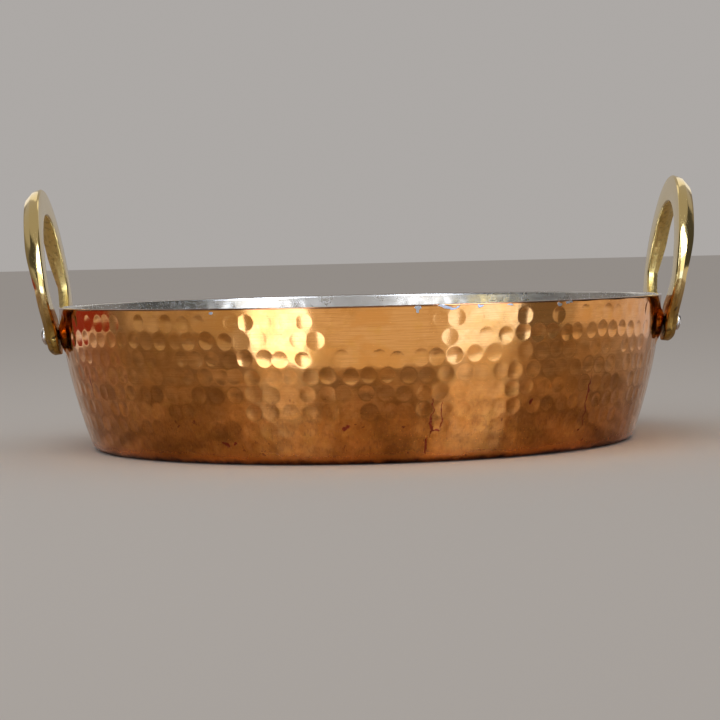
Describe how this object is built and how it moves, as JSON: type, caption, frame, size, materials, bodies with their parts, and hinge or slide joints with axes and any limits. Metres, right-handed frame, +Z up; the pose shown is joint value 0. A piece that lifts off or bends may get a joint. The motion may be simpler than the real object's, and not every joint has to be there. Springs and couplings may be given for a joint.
{
  "type": "hammered copper pan",
  "caption": "Round shallow hammered copper pan, tinned inside, with flaring wall and two upright brass loop handles riveted to opposite sides.",
  "frame": {"origin": "centre of the pan's flat base, on the surface that it stands on", "axes": "+X towards the right handle, +Y towards the back, +Z up"},
  "size_m": [0.307, 0.28, 0.1208],
  "materials": {
    "copper": "hand-hammered and polished copper, lightly tarnished",
    "tin": "wiped tin, satin",
    "brass": "cast brass, polished outside, rough in the loop",
    "aluminium": "bright hammered rivet"
  },
  "bodies": {
    "root": {"copper_body": "copper", "tin_lining": "tin", "left_handle": "brass", "right_handle": "brass", "left_front_rivet": "aluminium", "left_back_rivet": "aluminium", "right_front_rivet": "aluminium", "right_back_rivet": "aluminium"}
  },
  "joints": []
}
